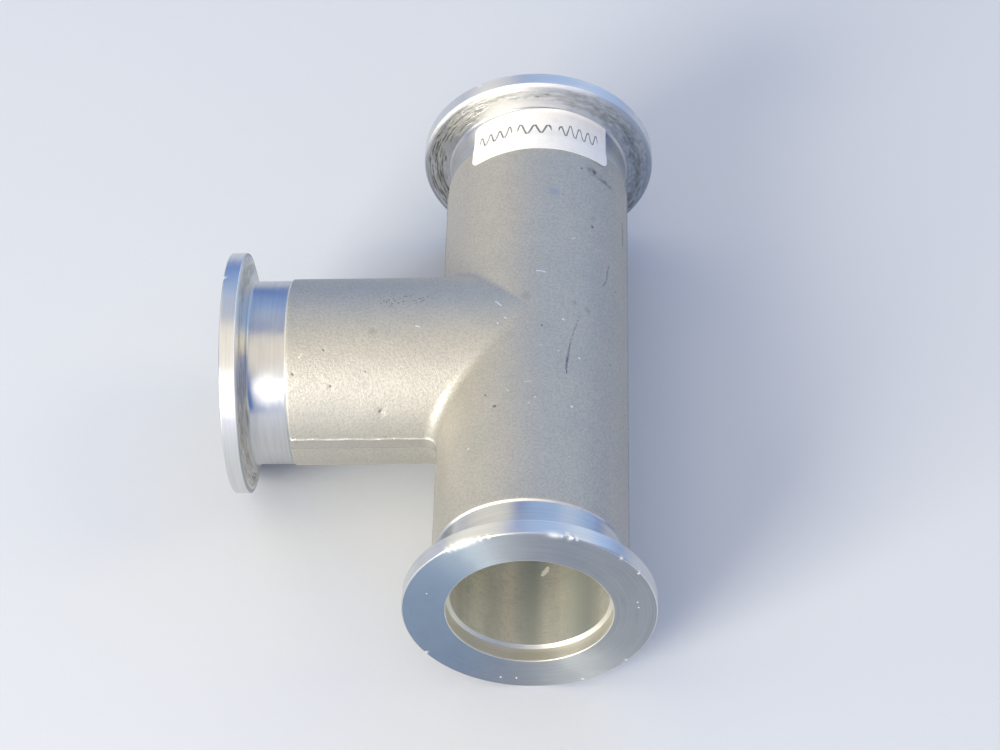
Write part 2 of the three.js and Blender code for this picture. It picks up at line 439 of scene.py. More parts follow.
def build_flange(name, outward, knocks, gall, soft, slots):
    """A flange piece whose local +Z is outward, with its sealing face at z 0. gall is the
    height of the galling on its cone, and soft the worn radius of its rim's back edge."""
    outline, column_slots = flange_outline(soft)
    turn = turn_angles(knocks)[:, None]
    radius, height = outline[:, 0][None, :], outline[:, 1][None, :]
    points = vectors(radius * np.cos(turn), radius * np.sin(turn), height)

    inward = vectors(-np.cos(turn), -np.sin(turn), -1.0) / math.sqrt(2)
    knocked = np.zeros(points.shape[:2])
    corner = FLANGE_RADIUS - EDGE_CHAMFER / 2
    from_corner = np.hypot(radius - corner, height + EDGE_CHAMFER / 2)
    for angle, width, depth in knocks:
        turned = (turn - math.radians(angle) + math.pi) % (2 * math.pi) - math.pi
        aside = turned * FLANGE_RADIUS + KNOCK_LEAN * height
        reach = min(KNOCK_STRETCH * width, KNOCK_REACH)
        share = np.exp(-(aside / width) ** 2 - (from_corner / reach) ** 2)
        knocked = np.maximum(knocked, share)
        points = points + inward * (depth * share)[..., None]

    # Clamping has galled the cone: shallow ridges and smears that run round it.
    on_cone = (column_slots == CONE_SLOT)[None, :]
    ridges = np.sin(6 * radius + 1.6 * np.sin(4 * turn) + 0.8 * np.sin(11 * turn))
    patches = np.maximum(0.5 + np.sin(5 * turn + 1) * np.sin(13 * turn + 0.5 * radius), 0)
    galled = smoothstep(GALL_INNER, GALL_INNER + GALL_FADE, radius)
    galled = galled * smoothstep(GALL_OUTER, GALL_OUTER - GALL_FADE, radius)
    points[..., 2] += gall * ridges * patches * galled * on_cone

    rows, columns = points.shape[:2]
    faces = grid_faces(rows, columns, close_rows=True, close_columns=True)
    up = Vector((0, 0, 1))
    sideways = up.cross(outward)
    face_centre = CENTRE + outward * (ARM * MM)
    turning = Matrix((sideways, up, outward)).transposed().to_4x4()
    placing = Matrix.Translation(face_centre) @ turning
    return make_piece(name, points.reshape(-1, 3), faces, slots,
                      np.tile(column_slots, rows), knocked, placing)


# ---- paper label ----

LABEL_START, LABEL_END = 38.5, 133.0  # degrees round the run
LABEL_THICKNESS = 0.11
LABEL_CORNER = 1.3
LABEL_GAP = 0.02  # between the paper and the casting
LABEL_CLIMB = 0.75  # the part that starts up the hollow corner
LABEL_NEAR_LEAN, LABEL_FAR_LEAN = 0.5, 0.75  # it was stuck on a little askew
CORNER_LIFT, EDGE_LIFT, PAPER_WAVE = 0.10, 0.03, 0.012
LABEL_NEAR = (label_low.y - CENTRE.y) / MM
LABEL_FAR = (label_high.y - CENTRE.y) / MM
LABEL_MIDDLE = (LABEL_NEAR + LABEL_FAR) / 2


def paper_radius(along):
    """The radius of the label's underside: it bridges from the casting down to the neck and
    starts up the flange's hollow corner."""
    drop = smoothstep(CAST_END - 0.9, CAST_END + 1.3, along)
    climb = np.maximum(along - (LABEL_FAR - LABEL_CLIMB), 0)
    lowered = (CAST_RADIUS - NECK_RADIUS) * drop
    return CAST_RADIUS + LABEL_GAP - lowered + 0.2 * climb ** 1.6


def build_label(slots):
    """A thin closed sheet, a rounded rectangle when laid flat."""
    start, end = math.radians(LABEL_START), math.radians(LABEL_END)
    width = (end - start) * CAST_RADIUS
    corner_columns = LABEL_CORNER * (1 - np.cos(np.linspace(0, math.pi / 2, 13)))
    across = np.concatenate([
        corner_columns[:-1],
        np.linspace(LABEL_CORNER, width - LABEL_CORNER, 81),
        (width - corner_columns[::-1])[1:],
    ])
    from_end = np.minimum(across, width - across)
    inset = LABEL_CORNER - np.sqrt(
        np.maximum(LABEL_CORNER ** 2 - np.maximum(LABEL_CORNER - from_end, 0) ** 2, 0))
    share = np.linspace(0, 1, 41)[None, :]
    lean = 1 - 2 * across[:, None] / width  # 1 at the +X end, -1 at the other
    low = LABEL_NEAR + LABEL_NEAR_LEAN * lean + inset[:, None]
    high = LABEL_FAR + LABEL_FAR_LEAN * lean - inset[:, None]
    along = low + (high - low) * share
    angle = (start + across / CAST_RADIUS)[:, None] + 0 * along

    # One corner and the long free edge have lifted a little.
    from_corner = np.hypot(width - across[:, None], along - low)
    lift = CORNER_LIFT * np.exp(-(from_corner / 1.6) ** 2)
    lift = lift + EDGE_LIFT * np.exp(-((along - low) / 0.5) ** 2)
    wave = np.sin(0.9 * across)[:, None] * np.sin(0.7 * along + 1)
    lift = lift + PAPER_WAVE * wave
    under = paper_radius(along) + np.maximum(lift, 0)

    def sheet(radius):
        return vectors(radius * np.cos(angle), along, radius * np.sin(angle))

    rows, columns = along.shape
    top = sheet(under + LABEL_THICKNESS).reshape(-1, 3)
    bottom = sheet(under).reshape(-1, 3)
    top_faces = grid_faces(rows, columns)
    bottom_faces = grid_faces(rows, columns, first=rows * columns)[:, ::-1]
    number = np.arange(rows * columns).reshape(rows, columns)
    rim = np.concatenate([number[0], number[1:, -1], number[-1, -2::-1], number[-2:0:-1, 0]])
    following = np.roll(rim, -1)
    edge_faces = np.stack([rim, following, following + rows * columns,
                           rim + rows * columns], axis=1)
    return make_piece("paper_label", np.concatenate([top, bottom]),
                      np.concatenate([top_faces, bottom_faces, edge_faces]), slots)


# ---- material nodes ----

class Nodes:
    """One material's node tree. Every value is a socket or a plain number or tuple."""

    def __init__(self, name):
        self.material = bpy.data.materials.new(name)
        self.material.use_nodes = True
        self.tree = self.material.node_tree
        self.shader = self.tree.nodes["Principled BSDF"]
        coordinates = self.add("ShaderNodeTexCoord").outputs["Object"]
        self.place = self.vector("SCALE", coordinates, scale=1 / MM)  # in millimetres

    def add(self, kind, inputs=None, **settings):
        node = self.tree.nodes.new(kind)
        for key, value in settings.items():
            setattr(node, key, value)
        self.fill(node, inputs or {})
        return node

    def fill(self, node, inputs):
        for key, value in inputs.items():
            if isinstance(value, bpy.types.NodeSocket):
                self.tree.links.new(value, node.inputs[key])
            else:
                node.inputs[key].default_value = value

    def math(self, operation, a, b=0.0):
        return self.add("ShaderNodeMath", {0: a, 1: b}, operation=operation).outputs[0]

    def times(self, a, b):
        return self.math("MULTIPLY", a, b)

    def vector(self, operation, a, b=(0, 0, 0), scale=1.0):
        second = {"Scale": scale} if operation == "SCALE" else {1: b}
        node = self.add("ShaderNodeVectorMath", {0: a, **second}, operation=operation)
        single = operation in ("LENGTH", "DOT_PRODUCT", "DISTANCE")
        return node.outputs["Value" if single else "Vector"]

    def xyz(self, vector):
        return self.add("ShaderNodeSeparateXYZ", {0: vector}).outputs

    def combine(self, x, y, z):
        return self.add("ShaderNodeCombineXYZ", {0: x, 1: y, 2: z}).outputs[0]

    def noise(self, vector, scale, detail=2.0, roughness=0.5):
        return self.add("ShaderNodeTexNoise", {
            "Vector": vector, "Scale": scale, "Detail": detail, "Roughness": roughness,
        }).outputs[0]

    def cells(self, vector, scale):
        """Distance to the nearest of a scatter of points, and a colour for each point."""
        node = self.add("ShaderNodeTexVoronoi", {"Vector": vector, "Scale": scale})
        return node.outputs["Distance"], node.outputs["Color"]

    def fit(self, value, low, high, to_low=0.0, to_high=1.0):
        """value from low..high to to_low..to_high, eased at both ends and held beyond."""
        return self.add("ShaderNodeMapRange", {
            "Value": value, "From Min": low, "From Max": high,
            "To Min": to_low, "To Max": to_high,
        }, interpolation_type="SMOOTHSTEP").outputs[0]

    def mix(self, share, a, b):
        """Colour a where share is 0, b where it is 1."""
        a, b = [(*colour, 1.0) if isinstance(colour, tuple) else colour for colour in (a, b)]
        return self.add("ShaderNodeMix", {0: share, 6: a, 7: b}, data_type="RGBA").outputs[2]

    def bump(self, height, depth_mm, under=None):
        inputs = {"Height": height, "Distance": depth_mm * MM, "Strength": 1.0}
        if under is not None:
            inputs["Normal"] = under
        return self.add("ShaderNodeBump", inputs).outputs[0]

    def stored(self, name):
        """The value kept under this name with the mesh's points, 0 if there is none."""
        return self.add("ShaderNodeAttribute", attribute_name=name).outputs["Fac"]

    def all_of(self, *shares):
        return functools.reduce(self.times, shares)

    def any_of(self, *shares):
        return functools.reduce(functools.partial(self.math, "MAXIMUM"), shares)

    def spot(self, centre, radius, soft=0.6):
        """1 inside a ball round centre, fading to 0 at its radius."""
        away = self.vector("DISTANCE", self.place, tuple(centre))
        return self.fit(away, radius, radius * (1 - soft))

    def spots(self, marks, soft=0.6):
        """1 inside any of these round marks on the casting."""
        return self.any_of(*[self.spot(on_arm(*place), radius, soft)
                             for *place, radius in marks])

    def stroke(self, points, width, soft=0.6, end_width=None):
        """1 along a line through the points, fading to 0 at its width, which changes
        steadily to end_width by the last point if that is given."""
        widths = np.linspace(width, end_width or width, len(points))
        shares = []
        for start, end, start_width, last_width in zip(points, points[1:], widths, widths[1:]):
            along = Vector(end) - Vector(start)
            from_start = self.vector("SUBTRACT", self.place, tuple(start))
            share = self.vector("DOT_PRODUCT", from_start, tuple(along / along.length_squared))
            share = self.math("MINIMUM", self.math("MAXIMUM", share, 0.0), 1.0)
            nearest = self.vector("SCALE", tuple(along), scale=share)
            away = self.vector("DISTANCE", from_start, nearest)
            here = self.math("ADD", start_width, self.times(share, last_width - start_width))
            shares.append(self.fit(self.math("DIVIDE", away, here), 1.0, 1.0 - soft))
        return self.any_of(*shares)

    def drawn(self, line, width, **others):
        """A stroke on the casting: line is an arm, then an angle and a distance per point."""
        arm, *points = line
        return self.stroke([on_arm(arm, *point) for point in points], width, **others)

    def finish(self, colour, roughness, metallic, normal, **others):
        self.fill(self.shader, {"Base Color": colour, "Roughness": roughness,
                                "Metallic": metallic, "Normal": normal, **others})
        return self.material


# ---- cast metal ----

# The marks on the casting. A line is an arm and its points, each an angle round the arm and
# a distance along it. A round mark is an arm, an angle, a distance and a radius.
PEN_LINE = ("run", (59.3, -0.1), (62.6, -3.3), (65.0, -6.3), (66.6, -8.8))
PEN_SWELL = ("run", (65.5, -6.9), (66.4, -8.6), (67.0, -9.8))
PEN_TAIL = ("run", (67.0, -9.8), (67.8, -11.4), (67.6, -13.4))
HAIRLINE = ("run", (35.9, 14.5), (37.4, 12.8), (38.0, 10.9), (41.3, 9.1))
EDGE_STREAK = ("run", (17.5, 28.5), (17.0, 23.6))
SMUDGE = ("run", (51.5, 34.1), (48.3, 33.9), (41.3, 33.4), (33.5, 33.2))
STAINS = [
    ("run", 53.6, 1.7, 0.8), ("run", 93.1, 2.5, 1.3), ("run", 62.8, 2.4, 0.9),
    ("branch", 74.2, -25.6, 0.9), ("run", 50.0, 23.0, 0.8), ("run", 214.0, 8.0, 1.4),
]
BLUE_SPOT = ("run", 76.9, 26.4)
PINHOLE_PATCH = ("branch", (97.6, -23.4), (97.0, -18.0))
BRIGHT_SCRATCHES = [
    ("run", (86.9, 8.0), (84.2, 8.0), (81.6, 7.8)),
    ("branch", (94.9, -5.7), (91.3, -4.8)),
    ("branch", (77.2, -18.6), (76.4, -18.0)),
    ("branch", (82.2, -4.2), (81.6, -3.9)),
    ("branch", (5.5, -39.6), (3.4, -39.2), (4.6, -38.7)),
]
FAINT_SCRATCHES = [
    ("run", (92.9, -16.0), (88.8, -15.9)), ("run", (103.4, -17.3), (102.2, -17.6)),
    ("branch", (60.4, -37.0), (57.9, -37.5)), ("run", (84.0, -8.1), (82.6, -8.2)),
    ("run", (65.2, 16.4), (62.8, 16.9)), ("run", (268.0, 4.0), (254.0, 9.5)),
    ("run", (322.0, -14.0), (334.0, -16.5)), ("branch", (160.0, -30.0), (171.0, -26.0)),
]
BRIGHT_DOTS = [
    ("run", 70.1, -2.0, 0.32), ("run", 59.4, -9.3, 0.30), ("run", 64.1, -20.0, 0.32),
    ("branch", 78.2, -5.3, 0.26), ("run", 90.0, -20.4, 0.22), ("run", 128.0, -27.0, 0.25),
    ("run", 86.4, -19.2, 0.24), ("run", 72.7, -8.9, 0.20),
]
DARK_DOTS = [
    ("branch", 48.1, -38.5, 0.30), ("branch", 40.5, -32.4, 0.26), ("branch", 24.2, -24.5, 0.38),
    ("branch", 62.5, -33.5, 0.26), ("run", 50.2, 21.1, 0.42), ("run", 28.7, 10.3, 0.28),
    ("run", 83.1, -3.9, 0.26), ("run", 110.6, -20.1, 0.40), ("run", 117.0, -17.2, 0.30),
    ("run", 58.6, 33.6, 0.30), ("run", 48.8, 34.0, 0.55),
]


def cast_metal():
    """Blasted casting: a fine sparkling grain, soft mottling, pinholes and shop marks."""
    n = Nodes("cast_metal")
    place = n.place
    grain = n.noise(place, 2.4, detail=3, roughness=0.6)
    fine = n.noise(place, 6.5, detail=2, roughness=0.6)
    mottle = n.noise(place, 0.35, detail=3, roughness=0.55)
    cloud = n.noise(place, 0.075, detail=2)

    colour = n.mix(n.fit(cloud, 0.35, 0.68), (0.520, 0.506, 0.460), (0.548, 0.526, 0.470))
    colour = n.mix(n.fit(mottle, 0.30, 0.75, 0.0, 0.30), colour, (0.450, 0.436, 0.404))
    colour = n.mix(n.fit(grain, 0.34, 0.62, 0.30, 0.0), colour, (0.30, 0.29, 0.27))
    glint = n.fit(fine, 0.58, 0.72)
    colour = n.mix(n.times(glint, 0.50), colour, (0.80, 0.78, 0.73))

    # Pinholes: a few anywhere, and many in one patch on the branch.
    away, point_colour = n.cells(place, 1.8)
    pick = n.xyz(point_colour)
    hole = n.fit(away, 0.40, 0.16)
    patch = n.drawn(PINHOLE_PATCH, 2.3, soft=0.9)
    scarce = n.math("GREATER_THAN", pick[0], 0.9985)
    crowded = n.math("GREATER_THAN", n.times(patch, 0.95), pick[1])
    pinholes = n.all_of(hole, n.any_of(scarce, crowded), n.fit(pick[2], 0, 1, 0.45, 1.0))
    dots = n.spots(DARK_DOTS)
    dark = n.any_of(n.times(pinholes, 0.65), n.times(dots, 0.6))
    colour = n.mix(dark, colour, (0.07, 0.068, 0.065))

    # Marks left in the shop: pen, hairline, streaks, smudges and a blue spot.
    broken = n.fit(n.noise(place, 1.8, detail=2), 0.38, 0.56)
    dotted = n.fit(n.noise(place, 2.6, detail=1), 0.42, 0.56, 0.06, 0.5)
    heavy = n.fit(broken, 0, 1, 0.5, 0.75)
    pen = n.any_of(
        n.all_of(n.drawn(PEN_LINE, 0.2, soft=0.8), dotted),
        n.all_of(n.drawn(PEN_SWELL, 0.12, soft=0.7, end_width=0.36), heavy),
        n.all_of(n.drawn(PEN_TAIL, 0.36, soft=0.7, end_width=0.16), heavy))
    colour = n.mix(pen, colour, (0.11, 0.115, 0.19))
    hairline = n.all_of(n.drawn(HAIRLINE, 0.24), n.fit(broken, 0, 1, 0.3, 0.55))
    colour = n.mix(hairline, colour, (0.12, 0.17, 0.24))
    streak = n.all_of(n.drawn(EDGE_STREAK, 0.40), n.fit(broken, 0, 1, 0.2, 0.6))
    smudge = n.all_of(n.drawn(SMUDGE, 1.5, soft=0.98, end_width=0.8),
                      n.fit(n.noise(place, 0.9, detail=3), 0.36, 0.60, 0.1, 0.75))
    stains = n.spots(STAINS, 0.95)
    grime = n.any_of(streak, smudge, n.times(stains, 0.28))
    colour = n.mix(grime, colour, (0.16, 0.155, 0.15))
    blue = n.times(n.spot(on_arm(*BLUE_SPOT), 1.4, 0.95), 0.4)
    colour = n.mix(blue, colour, (0.20, 0.28, 0.48))

    # The trimmed parting line is smoother and slightly darker than the skin round it.
    parts = n.xyz(place)
    land = n.fit(n.math("ABSOLUTE", parts[2]), 1.25, 0.95)
    colour = n.mix(n.times(land, 0.6), colour, (0.40, 0.39, 0.37))
    # Painted shadow: a broken dark line along the lower edge of the land, under its step.
    from_edge = n.math("ABSOLUTE", n.math("ADD", parts[2], PARTING_HALF_WIDTH + 0.1))
    crease_shadow = n.times(n.fit(from_edge, 0.26, 0.0), n.fit(broken, 0, 1, 0.15, 0.5))
    colour = n.mix(crease_shadow, colour, (0.20, 0.195, 0.18))

    scratches = n.any_of(*[n.drawn(line, 0.17, soft=0.9) for line in BRIGHT_SCRATCHES])
    faint = n.any_of(*[n.drawn(line, 0.16, soft=0.9) for line in FAINT_SCRATCHES])
    specks = n.spots(BRIGHT_DOTS)
    bright = n.any_of(scratches, n.times(specks, 0.7), n.times(faint, 0.5))
    colour = n.mix(bright, colour, (0.93, 0.91, 0.88))

    roughness = n.fit(grain, 0.3, 0.7, 0.60, 0.50)
    roughness = n.math("SUBTRACT", roughness, n.times(bright, 0.25))
    normal = n.bump(grain, 0.06)
    normal = n.bump(fine, 0.035, normal)
    normal = n.bump(n.math("SUBTRACT", 1.0, dark), 0.10, normal)
    return n.finish(colour, roughness, 0.82, normal)


# ---- turned metal ----

class TurnedNodes(Nodes):
    """Nodes for a surface turned about an axis through its piece's origin."""

    def __init__(self, name, axis=(0, 0, 1)):
        super().__init__(name)
        self.axis = axis
        self.height = self.vector("DOT_PRODUCT", self.place, axis)
        around = self.vector("CROSS_PRODUCT", axis, self.place)
        self.radius = self.vector("LENGTH", around)
        self.facing = self.vector("NORMALIZE", around)
        self.tangent = self.add("ShaderNodeVectorTransform", {0: self.facing},
                                vector_type="VECTOR", convert_from="OBJECT",
                                convert_to="WORLD").outputs[0]
        self.rings = self.combine(self.radius, self.height, 0.0)

    def streaks(self, around_scale, along_scale, detail=3, roughness=0.5):
        """Noise that is stretched round the part or across its outline."""
        wrapped = self.vector("SCALE", self.facing, scale=around_scale)
        outward = self.times(self.math("ADD", self.radius, self.height), along_scale)
        along = self.vector("SCALE", self.axis, scale=outward)
        return self.noise(self.vector("ADD", wrapped, along), 1.0, detail, roughness)

    def turned_finish(self, colour, roughness, normal, anisotropy, metallic=1.0):
        return self.finish(colour, roughness, metallic, normal, **{
            "Anisotropic": anisotropy, "Anisotropic Rotation": 0.25,
            "Tangent": self.tangent})


def turned_metal(name, colour, roughness, anisotropy=0.55, ring_depth=0.003, marks=(),
                 axis=(0, 0, 1), painted_shade_below=None, painted_reflection=None):
    """Bright or satin turned metal: tool rings, streaks that run round, and handling marks.
    marks are small bright scars: their middle and radius. The argument after axis is a height
    below which shade is painted, darker and bluer. The last argument is a facing direction and a
    colour painted there as a reflection of the surroundings."""
    n = TurnedNodes(name, axis)
    rings = n.noise(n.rings, 7.0, detail=4, roughness=0.65)
    streak = n.streaks(1.6, 3.2, roughness=0.6)
    haze = n.noise(n.place, 0.22, detail=3)
    scuff = n.noise(n.place, 3.1, detail=3, roughness=0.7)

    darker = tuple(0.82 * c for c in colour)
    shade = n.mix(n.fit(streak, 0.35, 0.68, 0.0, 0.5), colour, darker)
    shade = n.mix(n.fit(rings, 0.35, 0.7, 0.15, 0.0), shade, darker)
    worn = n.fit(scuff, 0.66, 0.76)
    shade = n.mix(n.times(worn, 0.4), shade, tuple(0.6 * c for c in colour))

    rough = n.fit(haze, 0.3, 0.7, roughness, roughness + 0.08)
    rough = n.math("ADD", rough, n.fit(streak, 0.4, 0.7, 0.0, 0.05))
    rough = n.math("ADD", rough, n.times(worn, 0.12))
    normal = n.bump(rings, ring_depth)
    normal = n.bump(scuff, 0.006, normal)
    # Painted reflection: the colour turns to a given one on the side facing a given direction.
    if painted_reflection:
        side, reflected_colour = painted_reflection
        share = n.fit(n.vector("DOT_PRODUCT", n.facing, side), 0.0, 0.95)
        shade = n.mix(share, shade, reflected_colour)
    # Painted shade: below the given height the colour turns darker and bluer.
    if painted_shade_below is not None:
        low_down = n.fit(n.xyz(n.place)[2], painted_shade_below, painted_shade_below - 2.5, 0.0, 0.8)
        shade = n.mix(low_down, shade, (0.36, 0.39, 0.42))
    bare = n.stored("knocked")
    if marks:
        scars = n.any_of(*[n.spot(middle, radius) for middle, radius in marks])
        bare = n.any_of(bare, scars)
        normal = n.bump(scars, -0.05, normal)
    shade = n.mix(bare, shade, (0.96, 0.95, 0.92))
    rough = n.math("ADD", rough, n.times(bare, 0.16))
    return n.turned_finish(shade, rough, normal, anisotropy, n.fit(bare, 0.2, 1.0, 1.0, 0.55))


def galled_cone(name, wear_and_painted_light):
    """The clamp cone: turned metal that clamps have rubbed dark and torn, in a ring that
    wanders in and out and widens. Light and shade are painted on it as well: a highlight on
    the outer edge and on a band just inside it towards one side, bluish shade on the rest of
    the edge, and bluish shade over one side of the cone."""
    n = TurnedNodes(name)
    rings = n.noise(n.rings, 7.0, detail=4, roughness=0.65)
    round_part = n.vector("SCALE", n.facing, scale=1.4)
    wander = n.noise(round_part, 1.0, detail=2)
    spread = n.noise(n.vector("ADD", round_part, (7.0, 3.0, 0.0)), 1.0, detail=1)
    top = n.fit(n.xyz(n.facing)[0], -0.55, -1.0, 0.0, 0.6)
    middle = n.math("ADD", n.fit(wander, 0.3, 0.7, 17.3, 18.1), top)
    off_middle = n.math("ABSOLUTE", n.math("SUBTRACT", n.radius, middle))
    ragged = n.fit(n.streaks(9.0, 0.8), 0.3, 0.7, -0.45, 0.45)
    off_middle = n.math("ADD", off_middle, ragged)
    half_width = n.fit(spread, 0.35, 0.62, 1.0, 2.1)
    band = n.fit(n.math("DIVIDE", off_middle, half_width), 1.0, 0.45)
    smear = n.streaks(4.2, 1.2, detail=4, roughness=0.55)
    tear = n.streaks(12.0, 1.8, roughness=0.6)
    dirt = n.all_of(n.fit(smear, 0.32, 0.60), band, wear_and_painted_light)
    torn = n.all_of(n.fit(tear, 0.52, 0.66), band, wear_and_painted_light)
    pits = n.all_of(n.fit(tear, 0.44, 0.32), n.fit(smear, 0.44, 0.6), band, wear_and_painted_light)

    sheltered = n.fit(n.xyz(n.facing)[1], 0.35, 0.85)
    # Painted shade with a blue cast over one side of the cone, mottled by the tearing noise.
    painted_side_shade = n.fit(n.xyz(n.facing)[1], -0.25, -0.95, 0.0, 0.85 * wear_and_painted_light)
    painted_side_shade = n.times(painted_side_shade, n.fit(tear, 0.42, 0.60, 1.0, 0.60))
    across_cone = n.all_of(n.fit(n.radius, 15.9, 16.5), n.fit(n.radius, 19.5, 18.9))
    crevice = n.streaks(4.2, 2.6, roughness=0.55)
    crevice = n.all_of(n.fit(crevice, 0.52, 0.60), sheltered, across_cone, wear_and_painted_light)

    shade = n.mix(n.fit(rings, 0.35, 0.7, 0.3, 0.0), (0.84, 0.83, 0.80), (0.66, 0.65, 0.63))
    shade = n.mix(painted_side_shade, shade, (0.30, 0.36, 0.43))
    shade = n.mix(n.times(dirt, 0.66), shade, (0.27, 0.285, 0.27))
    shade = n.mix(n.times(torn, 0.45), shade, (0.72, 0.72, 0.68))
    shade = n.mix(n.times(pits, 0.6), shade, (0.10, 0.10, 0.095))
    shade = n.mix(n.times(crevice, 0.8), shade, (0.10, 0.085, 0.065))
    # Painted highlight on the outer edge and on a band just inside it, on the side towards the
    # light, and painted bluish shade on the rest of the edge.
    edge = n.fit(n.radius, 19.2, 19.6)
    glare = (0.97, 0.96, 0.93)
    upward = n.vector("DOT_PRODUCT", n.facing, (-0.951, 0.309, 0.0))
    shade = n.mix(n.all_of(edge, n.fit(upward, 0.45, 0.95)), shade, glare)
    painted_highlight_band = n.all_of(n.fit(n.radius, 18.3, 19.0), n.fit(upward, 0.88, 0.99), wear_and_painted_light)
    shade = n.mix(painted_highlight_band, shade, glare)
    shade = n.mix(n.all_of(edge, n.fit(upward, 0.80, 0.30)), shade, (0.50, 0.55, 0.60))
    rough = n.math("ADD", 0.32, n.times(n.any_of(dirt, torn, edge), 0.23))
    normal = n.bump(rings, 0.004)
    normal = n.bump(tear, 0.04 * wear_and_painted_light + 0.001, normal)
    normal = n.bump(smear, 0.05 * wear_and_painted_light + 0.001, normal)
    normal = n.bump(crevice, -0.06, normal)
    return n.turned_finish(shade, rough, normal, 0.2)


def facing_at(angle, axis):
    """The facing direction of TurnedNodes at this angle round the run, in degrees, in the
    body's own frame or, where the axis is Z, in the front flange's."""
    out, up = polar(1, angle)
    outward = Vector((out, up, 0) if axis == (0, 0, 1) else (out, 0, up))
    return tuple(Vector(axis).cross(outward))


def bored_metal(name, axis=(0, 0, 1), reflections=(), fleck=()):
    """The bores: duller, olive grey, with close rings and soft lengthwise bands. The third
    argument adds painted reflections, more such bands at fixed angles: the middle of each,
    its half width and its colour. fleck lists strokes of a torn spot of bare metal: two ends
    and a width."""
    n = TurnedNodes(name, axis)
    rings = n.noise(n.rings, 4.2, detail=5, roughness=0.7)
    lengthwise = n.noise(n.vector("SCALE", n.facing, scale=5.0), 1.0, detail=3)
    blotch = n.noise(n.place, 0.45, detail=2)
    shade = n.mix(n.fit(lengthwise, 0.35, 0.65), (0.84, 0.82, 0.73), (0.95, 0.92, 0.84))
    shade = n.mix(n.fit(rings, 0.35, 0.68, 0.35, 0.0), shade, (0.66, 0.66, 0.59))
    # Painted reflections: soft lengthwise bands of lighter or darker colour at fixed angles round
    # the bore.
    for middle, half_width, tint in reflections:
        share = n.fit(n.vector("DISTANCE", n.facing, facing_at(middle, axis)), half_width, 0.0)
        shade = n.mix(n.times(share, 0.8), shade, tint)
    speckle = n.noise(n.place, 1.7, detail=3, roughness=0.7)
    shade = n.mix(n.fit(speckle, 0.46, 0.66, 0.0, 0.35), shade, (0.60, 0.62, 0.56))
    shade = n.mix(n.fit(blotch, 0.5, 0.72, 0.0, 0.4), shade, (0.64, 0.67, 0.60))
    normal = n.bump(rings, 0.012)
    metallic = 0.8
    if fleck:
        ragged = n.times(n.noise(n.place, 2.6, detail=3), 0.9)
        body = n.any_of(*[n.stroke(ends, width, soft=1.0) for ends, width in fleck])
        torn = n.fit(n.math("ADD", body, ragged), 0.92, 1.02)
        shade = n.mix(torn, shade, (0.98, 0.96, 0.82))
        metallic = n.fit(torn, 0.0, 1.0, metallic, 0.1)
        normal = n.bump(torn, 0.1, normal)
    return n.turned_finish(shade, 0.36, normal, 0.7, metallic)


# ---- paper ----

PEN_LINES = [
    # start and end in degrees round the run, waves along it, height of the waves
    (128.0, 104.5, 3.5, 1.15), (101.0, 79.0, 2.5, 1.35), (74.5, 46.0, 4.5, 1.20),
]


def label_paper():
    """Uncoated label stock: faint fibres, handling grime and plain wavy pen lines."""
    n = Nodes("label_paper")
    fibre = n.noise(n.place, 4.5, detail=4, roughness=0.7)
    grime = n.noise(n.place, 0.5, detail=3)
    colour = n.mix(n.fit(fibre, 0.3, 0.7), (0.86, 0.85, 0.83), (0.93, 0.92, 0.90))
    colour = n.mix(n.fit(grime, 0.5, 0.8, 0.0, 0.35), colour, (0.72, 0.71, 0.69))

    across, along, height = n.xyz(n.place)[:3]
    angle = n.math("DEGREES", n.math("ARCTAN2", height, across))
    middle = n.fit(angle, LABEL_END, LABEL_START, LABEL_MIDDLE - 0.5, LABEL_MIDDLE + 0.5)
    ink = 0.0
    for start, end, waves, size in PEN_LINES:
        turns = n.times(n.math("SUBTRACT", angle, end), 2 * math.pi * waves / (start - end))
        uneven = n.fit(n.noise(n.place, 0.22), 0.3, 0.7, 0.6 * size, 1.2 * size)
        wave = n.times(n.math("SINE", turns), uneven)
        off_line = n.math("ABSOLUTE", n.math("SUBTRACT", n.math("SUBTRACT", along, middle), wave))
        steep = n.math("ABSOLUTE", n.math("COSINE", turns))
        line = n.math("LESS_THAN", off_line, n.fit(steep, 0.0, 1.0, 0.14, 0.46))
        drawn = n.all_of(line, n.math("LESS_THAN", angle, start),
                         n.math("GREATER_THAN", angle, end))
        ink = n.math("MAXIMUM", ink, drawn)
    ink = n.times(ink, n.fit(fibre, 0.3, 0.6, 0.65, 0.9))
    colour = n.mix(ink, colour, (0.035, 0.035, 0.045))
    return n.finish(colour, 0.62, 0.0, n.bump(fibre, 0.02))


# ---- build the pieces ----

def place_piece(piece, node):
    """Put a piece on the fixed body, in place of the CAD's own."""
    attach(piece, "root")
    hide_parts(node)


def in_bore(angle, along):
    """A point on the wall of the run's bore."""
    out, up = polar(BORE_RADIUS, angle)
    return out, along, up


# Painted reflections in the run's bore, soft lengthwise bands: middle in degrees, half width,
# colour.
BORE_REFLECTIONS = [
    (-108.0, 0.18, (1.0, 0.92, 0.80)), (-90.0, 0.20, (0.60, 0.63, 0.56)),
    (-48.0, 0.40, (0.48, 0.54, 0.51)), (-136.0, 0.26, (1.0, 0.98, 0.86)),
]
# The strokes of the bore's torn fleck: both ends, and a width.
BORE_FLECK = [
    ((in_bore(-80.0, -32.1), in_bore(-80.6, -32.5)), 0.75),
    ((in_bore(-80.8, -32.6), in_bore(-82.4, -32.9)), 0.95),
    ((in_bore(-82.6, -33.0), in_bore(-83.4, -33.4)), 0.60),
]


def face_mark(radius, angle, size):
    """A mark on a sealing face, in its flange's own frame."""
    return (*polar(radius, angle), 0.0), size


